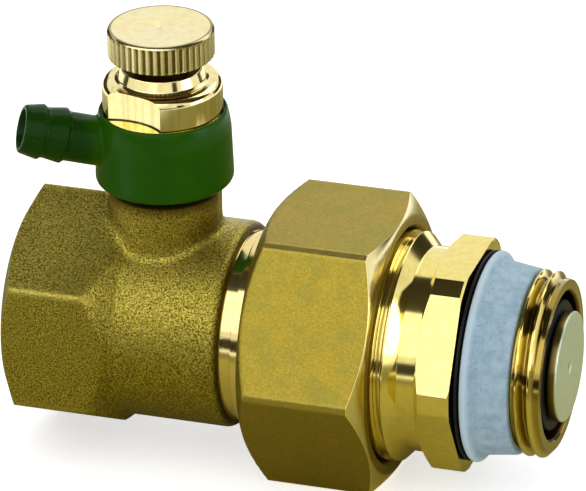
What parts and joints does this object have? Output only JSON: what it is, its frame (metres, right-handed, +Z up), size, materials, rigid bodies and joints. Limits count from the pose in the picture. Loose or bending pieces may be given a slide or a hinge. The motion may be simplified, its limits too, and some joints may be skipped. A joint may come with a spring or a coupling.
{
  "type": "service valve",
  "caption": "Brass service valve for an expansion vessel: female hexagon socket, captive union nut, self-closing male nipple, and a drain screw above a swivelling hose tail.",
  "frame": {"origin": "under the middle of the valve, on the surface that the union nut's lower flat rests on", "axes": "+X along the main axis from the female socket to the male thread, +Z up along the drain screw, Y across"},
  "size_m": [0.0798, 0.0434, 0.0643],
  "materials": {
    "forged_brass": "sand-blasted forging",
    "nut_brass": "forged, lightly patinated",
    "turned_brass": "bright turned",
    "black_rubber": "matte",
    "gasket_fibre": "matte pressed fibre",
    "pale_plastic": "matte",
    "green_plastic": "satin gloss",
    "spring_steel": "drawn"
  },
  "bodies": {
    "body": {"valve_body": "forged_brass", "push_spider": "turned_brass", "nut_snap_ring": "spring_steel", "union_gasket": "gasket_fibre", "drain_body": "turned_brass", "collar_foot_o_ring": "black_rubber", "collar_head_o_ring": "black_rubber"},
    "nut": {"union_nut": "nut_brass"},
    "nipple": {"nipple": "turned_brass", "hexagon_gasket": "black_rubber", "thread_seal_ring": "pale_plastic", "stem_guide": "turned_brass"},
    "poppet": {"poppet": "turned_brass", "poppet_seal": "black_rubber", "seal_back_washer": "turned_brass", "stem_clip": "spring_steel", "spring_cup": "turned_brass", "poppet_spring": "spring_steel"},
    "collar": {"hose_collar": "green_plastic"},
    "drain_seal": {"drain_washer": "black_rubber", "washer_holder": "turned_brass"},
    "drain_screw": {"drain_screw": "turned_brass", "spindle_o_ring": "black_rubber"}
  },
  "joints": [
    {"name": "union_nut_turn", "type": "hinge", "parent": "body", "child": "nut", "pos_m": [0.00522, 0, 0.019], "axis": [-1, 0, 0], "range_deg": [0, 1080]},
    {"name": "nipple_slide", "type": "slide", "parent": "body", "child": "nipple", "axis": [1, 0, 0], "range_m": [0, 0.00693]},
    {"name": "poppet_slide", "type": "slide", "parent": "nipple", "child": "poppet", "axis": [-1, 0, 0], "range_m": [0, 0.00693], "deforming": ["poppet_spring"]},
    {"name": "drain_lift", "type": "slide", "parent": "body", "child": "drain_seal", "axis": [0, 0, 1], "range_m": [0, 0.002]},
    {"name": "drain_screw_turn", "type": "hinge", "parent": "drain_seal", "child": "drain_screw", "pos_m": [-0.01968, 0, 0.0581], "axis": [0, 0, 1], "range_deg": [0, 720]},
    {"name": "hose_collar_swivel", "type": "hinge", "parent": "body", "child": "collar", "pos_m": [-0.01968, 0, 0.046], "axis": [0, 0, 1], "continuous": true}
  ],
  "couplings": [
    {"joint": "union_nut_turn", "follows": "nipple_slide", "rad_per_m": 2721.2},
    {"joint": "poppet_slide", "follows": "nipple_slide", "ratio": 1},
    {"joint": "drain_screw_turn", "follows": "drain_lift", "rad_per_m": 6283.2}
  ]
}
